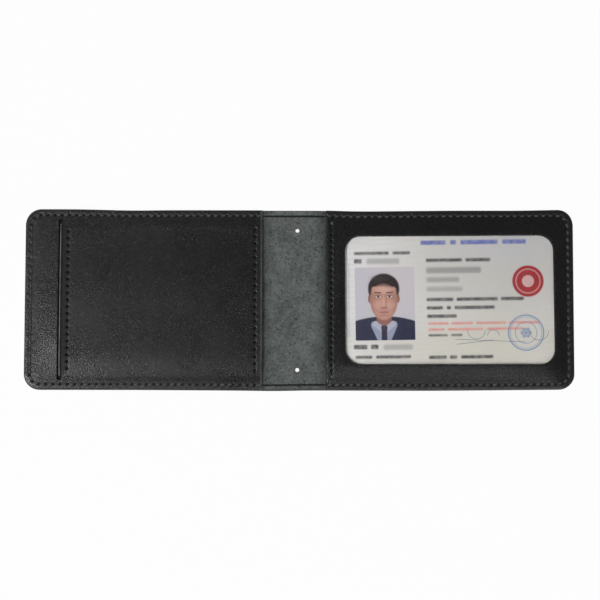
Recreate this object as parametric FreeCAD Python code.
"""Leather badge wallet for one ID card, lying open and flat with its inside up.

The frame has X along the open wallet, Y up the card and Z upwards. The origin is in the middle of the
outer face, on the surface that the wallet lies on. All sizes are millimetres.
"""

import FreeCAD, Part
import math
import os

# The card that the wallet is cut for: the common plastic card size
card_length = 85.6
card_height = 53.98
card_thickness = 0.76
card_corner_radius = 3.18

# Sheet goods
cover_thickness = 1.3
panel_thickness = 1.2
lining_thickness = 0.4
film_thickness = 0.3

# Outline of the open cover
outer_corner_radius = 6.0
edge_bevel = 0.25
bare_spine_left = 14.15
bare_spine_right = 10.35

# Thread and the channels that it lies in
thread_width = 0.6
thread_height = 0.3
thread_crown_width = 0.3
thread_end_taper = 0.35
thread_proud = 0.1
thread_recess = 0.05
needle_gap = 0.5
groove_width = 1.0

# Seams: round the edge, along the slit's lip and along the two pocket mouths
seam_inset = 2.2
seam_pitch = 2.75
slit_row_inset = 3.0
slit_row_end_gap = 1.2
slit_row_pitch = 2.65
left_mouth_row_inset = 2.7
left_mouth_row_end_gap = 0.4
left_mouth_row_pitch = 2.65
right_mouth_row_inset = 2.0
right_mouth_row_end_gap = 1.0
right_mouth_row_pitch = 2.25

# How the panels rise from the sewn rim to the flat over what they hold
rim_margin = 0.2
slope_run = 1.2

# Right pocket, which holds the card behind the window
card_to_mouth = 4.35
card_end_room = 0.6
card_side_room = 3.41
card_clearance = 0.1
window_end_overlap = 2.95
window_side_overlap = 2.4
window_corner_radius = 5.8
film_edge_gap = 0.4

# Left pocket, which is filled through a slit in its panel
slit_from_outer_edge = 13.5
slit_end_room = 1.6
slit_width = 0.8
slit_end_diameter = 1.8
pocket_clearance = 0.1
lining_side_room = 2.5
lining_edge_gap = 0.4

# The fold and the two cord holes close to its middle line
closing_clearance = 0.3
cord_hole_diameter = 1.5
cord_hole_x = -0.7
cord_hole_to_side = 7.75

# Sizes that follow from the ones above
rim_width = seam_inset + groove_width / 2 + rim_margin
card_to_outer_edge = rim_width + slope_run + card_end_room
card_to_side = rim_width + slope_run + card_side_room
half_length = bare_spine_right + card_to_mouth + card_length + card_to_outer_edge
half_height = card_height / 2 + card_to_side

panel_floor = cover_thickness
thread_depth = thread_height - thread_proud
sunk_thread_depth = thread_height + thread_recess

card_floor = panel_floor + card_clearance
film_floor = card_floor + card_thickness + card_clearance
right_rise = film_floor + film_thickness - panel_floor
right_ceiling = panel_floor + right_rise
right_top = right_ceiling + panel_thickness
card_middle = bare_spine_right + card_to_mouth + card_length / 2
window_length = card_length - 2 * window_end_overlap
window_height = card_height - 2 * window_side_overlap

lining_floor = panel_floor + thread_height + pocket_clearance
left_rise = lining_floor + lining_thickness - panel_floor
left_top = panel_floor + left_rise + panel_thickness
slit_x = half_length - slit_from_outer_edge
slit_half_length = half_height - rim_width - slit_end_room
lining_half_height = slit_half_length - lining_side_room

closed_gap = left_rise + right_rise + 2 * panel_thickness + thread_proud + closing_clearance
fold_half = closed_gap / 2
cord_hole_y = half_height - cord_hole_to_side

# Reach of a cutting tool past the face that it cuts, and the least radius that an inset corner keeps
overrun = 5.0
least_radius = 0.3

LEFT = -1
RIGHT = 1


def point(x, y, z=0.0):
    return FreeCAD.Vector(x, y, z)


def half_outline(side, outer, inner, height, radius):
    """Closed outline of one half: rounded corners at its outer end, square ones at its inner end."""
    radius = max(radius, least_radius)
    bend = radius * (1 - math.sqrt(0.5))
    corners = [
        (inner, -height),
        (outer - radius, -height),
        (outer - bend, -height + bend),
        (outer, -height + radius),
        (outer, height - radius),
        (outer - bend, height - bend),
        (outer - radius, height),
        (inner, height),
    ]
    a, b, b_mid, c, d, d_mid, e, f = [point(side * x, y) for x, y in corners]
    return Part.Wire(
        [
            Part.LineSegment(a, b).toShape(),
            Part.Arc(b, b_mid, c).toShape(),
            Part.LineSegment(c, d).toShape(),
            Part.Arc(d, d_mid, e).toShape(),
            Part.LineSegment(e, f).toShape(),
            Part.LineSegment(f, a).toShape(),
        ]
    )


def inset_outline(side, inset, inner):
    """The wallet's own outline on one side, drawn in by an inset and ending at the inner distance."""
    return half_outline(side, half_length - inset, inner, half_height - inset, outer_corner_radius - inset)


def rounded_rectangle(middle_x, length, height, radius):
    """Closed rectangle with four round corners, on the middle line of the wallet."""
    x0 = middle_x - length / 2 + radius
    x1 = middle_x + length / 2 - radius
    y1 = height / 2 - radius
    edges = []
    for x, y, start in [(x1, -y1, 270), (x1, y1, 0), (x0, y1, 90), (x0, -y1, 180)]:
        edges.append(Part.makeCircle(radius, point(x, y), point(0, 0, 1), start, start + 90))
    sides = []
    for n, arc in enumerate(edges):
        following = edges[(n + 1) % len(edges)]
        sides.append(Part.makeLine(arc.Vertexes[-1].Point, following.Vertexes[0].Point))
    return Part.Wire(Part.__sortEdges__(edges + sides))


def prism(outline, low, high):
    """A flat sheet with this outline between two heights."""
    face = Part.Face(outline)
    face.translate(point(0, 0, low))
    return face.extrude(point(0, 0, high - low))


def taper(low_outline, low, high_outline, high):
    """A solid that goes straight from one outline to another of the same kind."""
    below = low_outline.copy()
    below.translate(point(0, 0, low))
    above = high_outline.copy()
    above.translate(point(0, 0, high))
    return Part.makeLoft([below, above], True, True)


def box(x0, x1, y0, y1, z0, z1):
    return Part.makeBox(x1 - x0, y1 - y0, z1 - z0, point(x0, y0, z0))


def side_box(side, inner, outer, y0, y1, z0, z1):
    """A box between two distances from the fold, on one side of it."""
    low, high = sorted((side * inner, side * outer))
    return box(low, high, y0, y1, z0, z1)


def edge_groove(side, inner, low, high):
    """The channel that the edge seam lies in, from the inner distance round the outer end."""
    outside = prism(inset_outline(side, seam_inset - groove_width / 2, inner), low, high)
    inside = prism(inset_outline(side, seam_inset + groove_width / 2, inner - overrun), low, high)
    return outside.cut(inside)


def spine_groove(x0, x1, low, high):
    """The straight channels of the edge seam across the bare leather of the spine, top and bottom."""
    seam_y = half_height - seam_inset
    y0 = seam_y - groove_width / 2
    y1 = seam_y + groove_width / 2
    return box(x0, x1, y0, y1, low, high).fuse(box(x0, x1, -y1, -y0, low, high))


def row_groove(side, distance, half_row, low, high):
    """The straight channel of one row of stitches along a lip, between two heights."""
    half_width = groove_width / 2
    reach = half_row + needle_gap
    return side_box(side, distance - half_width, distance + half_width, -reach, reach, low, high)


def top_row_groove(side, distance, half_row, top):
    """The channel of a row's needle thread, cut down from the panel's top."""
    return row_groove(side, distance, half_row, top - thread_depth, top + overrun)


# Cover: one piece of leather in three sections, because it folds along two lines


def cover_half(side):
    """One half of the cover, with the seam's channel in its outer face and in its bare inner face."""
    bevelled = taper(
        inset_outline(side, edge_bevel, fold_half), 0, inset_outline(side, 0, fold_half), edge_bevel
    )
    leather = bevelled.fuse(prism(inset_outline(side, 0, fold_half), edge_bevel, cover_thickness))
    bare = bare_spine_left if side == LEFT else bare_spine_right
    x0, x1 = sorted((side * fold_half, side * bare))
    leather = leather.cut(edge_groove(side, fold_half - overrun, -overrun, sunk_thread_depth))
    leather = leather.cut(
        spine_groove(x0, x1, cover_thickness - sunk_thread_depth, cover_thickness + overrun)
    )
    return leather.removeSplitter()


def cover_spine():
    """The middle strip of the cover between the two fold lines, with its cord holes."""
    strip = box(-fold_half, fold_half, -half_height, half_height, 0, cover_thickness)
    strip = strip.cut(spine_groove(-fold_half, fold_half, -overrun, sunk_thread_depth))
    strip = strip.cut(
        spine_groove(-fold_half, fold_half, cover_thickness - sunk_thread_depth, cover_thickness + overrun)
    )
    for y in (-cord_hole_y, cord_hole_y):
        foot = point(cord_hole_x, y, -overrun)
        strip = strip.cut(Part.makeCylinder(cord_hole_diameter / 2, cover_thickness + 2 * overrun, foot))
    return strip.removeSplitter()


# Inner panels: leather that is sewn down at the rim and rises over what the pocket holds


def panel_rim(side, mouth):
    """The flat sheet of a panel, with the bevelled edge that lines up with the cover's."""
    top = panel_floor + panel_thickness
    sheet = prism(inset_outline(side, 0, mouth), panel_floor, top - edge_bevel)
    bevelled = taper(
        inset_outline(side, 0, mouth), top - edge_bevel, inset_outline(side, edge_bevel, mouth), top
    )
    return sheet.fuse(bevelled)


def slope_offset(rise):
    """How far a bent sheet's upper corner lies inside its lower one, so that it keeps its thickness."""
    return panel_thickness * math.tan(math.atan2(rise, slope_run) / 2)


def right_tray(inset, low, high):
    """The space over the card, open at the mouth, between two heights and drawn in by an inset."""
    inner = bare_spine_right - overrun
    return taper(
        inset_outline(RIGHT, inset, inner), low, inset_outline(RIGHT, inset + slope_run, inner), high
    )


def right_panel():
    """Window panel: raised over the card, open towards the fold, with the window cut through it."""
    rim_top = panel_floor + panel_thickness
    outline = prism(inset_outline(RIGHT, 0, bare_spine_right), panel_floor, right_top)
    raised = right_tray(rim_width + slope_offset(right_rise), rim_top, right_top).common(outline)
    panel = panel_rim(RIGHT, bare_spine_right).fuse(raised)
    panel = panel.cut(right_tray(rim_width, panel_floor, right_ceiling))
    window = rounded_rectangle(card_middle, window_length, window_height, window_corner_radius)
    panel = panel.cut(prism(window, panel_floor, right_top + overrun))
    panel = panel.cut(
        edge_groove(RIGHT, bare_spine_right - overrun, rim_top - thread_depth, rim_top + overrun)
    )
    panel = panel.cut(top_row_groove(RIGHT, right_mouth_row_x, right_mouth_row_half, right_top))
    hidden_groove = row_groove(
        RIGHT, right_mouth_row_x, right_mouth_row_half, panel_floor, right_ceiling + sunk_thread_depth
    )
    panel = panel.cut(hidden_groove)
    return panel.removeSplitter()


def left_tray(inset, low, high):
    """The raised middle of the left panel, from the slit to the mouth, between two heights."""
    inner = bare_spine_left - overrun
    foot = slit_half_length - inset
    lower = [(slit_x, -foot), (inner, -foot), (inner, foot), (slit_x, foot)]
    brow = foot - slope_run
    upper = [(slit_x, -brow), (inner, -brow), (inner, brow), (slit_x, brow)]
    outlines = []
    for corners in (lower, upper):
        loop = [point(LEFT * x, y) for x, y in corners]
        outlines.append(Part.makePolygon(loop + loop[:1]))
    return taper(outlines[0], low, outlines[1], high)


def slit(low, high):
    """The cut that fills the left pocket, with a round hole punched at each end against tearing."""
    inner = slit_x - slit_width / 2
    outer = slit_x + slit_width / 2
    cut = side_box(LEFT, inner, outer, -slit_half_length, slit_half_length, low, high)
    for y in (-slit_half_length, slit_half_length):
        cut = cut.fuse(Part.makeCylinder(slit_end_diameter / 2, high - low, point(LEFT * slit_x, y, low)))
    return cut


def left_panel():
    """Pocket panel: raised over its lining from the slit's lip to the mouth."""
    rim_top = panel_floor + panel_thickness
    outline = prism(inset_outline(LEFT, 0, bare_spine_left), panel_floor, left_top)
    raised = left_tray(slope_offset(left_rise), rim_top, left_top).common(outline)
    panel = panel_rim(LEFT, bare_spine_left).fuse(raised)
    panel = panel.cut(left_tray(0, panel_floor, panel_floor + left_rise))
    panel = panel.cut(slit(panel_floor - overrun, left_top + overrun))
    panel = panel.cut(
        edge_groove(LEFT, bare_spine_left - overrun, rim_top - thread_depth, rim_top + overrun)
    )
    panel = panel.cut(top_row_groove(LEFT, slit_row_x, slit_row_half, left_top))
    panel = panel.cut(top_row_groove(LEFT, left_mouth_row_x, left_mouth_row_half, left_top))
    return panel.removeSplitter()


# What the panels hold


def left_lining():
    """Thin lining under the left panel, held by the rows at its slit and at its mouth."""
    inner = bare_spine_left + lining_edge_gap
    outer = slit_x - slit_width / 2 - lining_edge_gap
    height = lining_half_height
    return side_box(LEFT, inner, outer, -height, height, lining_floor, lining_floor + lining_thickness)


def window_film():
    """Clear film cemented under the window panel, from beside the mouth's row to the far end."""
    inset = rim_width + slope_run + film_edge_gap
    outline = inset_outline(RIGHT, inset, right_mouth_row_x + groove_width / 2 + film_edge_gap)
    return prism(outline, film_floor, right_ceiling)


def id_card():
    """Plain plastic card, loose in the right pocket."""
    outline = rounded_rectangle(card_middle, card_length, card_height, card_corner_radius)
    return prism(outline, card_floor, card_floor + card_thickness)


# Stitches: each seam has a needle thread on the inside and a bobbin thread on the other side


def stitch(start, end, middle, floor, direction):
    """One stitch between two needle holes: a bar on its floor, drawn in at both ends and at its crown."""
    along = end - start
    along.normalize()
    across = point(-along.y, along.x)
    centre = ((start + end) * 0.5 + middle) * 0.5
    half_run = ((end - start).Length - needle_gap) / 2
    base = [(half_run, thread_width / 2), (half_run - thread_end_taper, thread_crown_width / 2)]
    heights = [floor, floor + direction * thread_height]
    rings = []
    for (length, width), height in zip(base, heights):
        level = centre + point(0, 0, height)
        signs = [(1, 1), (-1, 1), (-1, -1), (1, -1)]
        rings.append([level + along * (a * length) + across * (b * width) for a, b in signs])
    low, high = rings
    loops = [low, high]
    for n in range(len(low)):
        m = (n + 1) % len(low)
        loops.append([low[n], low[m], high[m], high[n]])
    faces = [Part.Face(Part.makePolygon(loop + loop[:1])) for loop in loops]
    bar = Part.makeSolid(Part.makeShell(faces))
    if bar.Volume < 0:
        bar.reverse()
    return bar


def stitches_along(path, pitch, floor, direction):
    """Stitches of nearly this pitch from one end of the path to the other."""
    count = max(1, round(path.Length / pitch))
    marks = path.discretize(Number=2 * count + 1)
    bars = []
    for n in range(count):
        start, middle, end = marks[2 * n : 2 * n + 3]
        bars.append(stitch(start, end, middle, floor, direction))
    return bars


def edge_path(side, mouth):
    """The edge seam's line round one panel, from the mouth and back to it."""
    outline = inset_outline(side, seam_inset, mouth)
    edges = [edge for edge in outline.Edges if edge.CenterOfMass.x * side > mouth + least_radius]
    return Part.Wire(Part.__sortEdges__(edges))


def straight_path(x0, y0, x1, y1):
    return Part.Wire([Part.makeLine(point(x0, y0), point(x1, y1))])


def spine_paths(x0, x1):
    """The edge seam's two straight lines across the spine between two places."""
    seam_y = half_height - seam_inset
    return [straight_path(x0, y, x1, y) for y in (-seam_y, seam_y)]


def edge_threads(side):
    """Needle and bobbin threads of the edge seam on one half, as two lists of stitches."""
    mouth = bare_spine_left if side == LEFT else bare_spine_right
    round_panel = edge_path(side, mouth)
    needle = stitches_along(round_panel, seam_pitch, panel_floor + panel_thickness - thread_depth, 1)
    bobbin = stitches_along(round_panel, seam_pitch, sunk_thread_depth, -1)
    for path in spine_paths(side * fold_half, side * mouth):
        needle += stitches_along(path, seam_pitch, cover_thickness - sunk_thread_depth, 1)
        bobbin += stitches_along(path, seam_pitch, sunk_thread_depth, -1)
    return needle, bobbin


def spine_threads():
    """Needle and bobbin threads of the edge seam on the strip that folds."""
    needle = []
    bobbin = []
    for path in spine_paths(-fold_half, fold_half):
        needle += stitches_along(path, seam_pitch, cover_thickness - sunk_thread_depth, 1)
        bobbin += stitches_along(path, seam_pitch, sunk_thread_depth, -1)
    return needle, bobbin


def row_threads(side, distance, half_row, pitch, top, underside):
    """Needle and bobbin threads of one straight row along a lip."""
    path = straight_path(side * distance, -half_row, side * distance, half_row)
    return stitches_along(path, pitch, top - thread_depth, 1), stitches_along(path, pitch, underside, -1)


slit_row_x = slit_x - slit_row_inset
slit_row_half = lining_half_height - slit_row_end_gap
left_mouth_row_x = bare_spine_left + left_mouth_row_inset
left_mouth_row_half = lining_half_height - left_mouth_row_end_gap
right_mouth_row_x = bare_spine_right + right_mouth_row_inset
right_mouth_row_half = half_height - rim_width - slope_run - right_mouth_row_end_gap


def all_parts():
    """Every node by name: one solid, or the separate stitches of one thread."""
    parts = {
        "cover_left": [cover_half(LEFT)],
        "cover_spine": [cover_spine()],
        "cover_right": [cover_half(RIGHT)],
        "left_panel": [left_panel()],
        "left_lining": [left_lining()],
        "right_panel": [right_panel()],
        "window_film": [window_film()],
        "id_card": [id_card()],
    }
    seams = {
        "left_edge": edge_threads(LEFT),
        "spine": spine_threads(),
        "right_edge": edge_threads(RIGHT),
        "slit_row": row_threads(LEFT, slit_row_x, slit_row_half, slit_row_pitch, left_top, lining_floor),
        "left_mouth": row_threads(
            LEFT, left_mouth_row_x, left_mouth_row_half, left_mouth_row_pitch, left_top, lining_floor
        ),
        "right_mouth": row_threads(
            RIGHT,
            right_mouth_row_x,
            right_mouth_row_half,
            right_mouth_row_pitch,
            right_top,
            right_ceiling + sunk_thread_depth,
        ),
    }
    for name, (needle, bobbin) in seams.items():
        parts[name + "_needle_thread"] = needle
        parts[name + "_bobbin_thread"] = bobbin
    return parts


def main():
    os.makedirs("parts", exist_ok=True)
    for name, solids in all_parts().items():
        shape = solids[0] if len(solids) == 1 else Part.makeCompound(solids)
        shape.exportStep(os.path.join("parts", name + ".step"))
        print(name, len(shape.Solids), "solids, valid", shape.isValid(), "volume", round(shape.Volume, 2))
    print("open size", 2 * half_length, "by", 2 * half_height, "by", right_top)


if __name__ == "__main__":
    main()
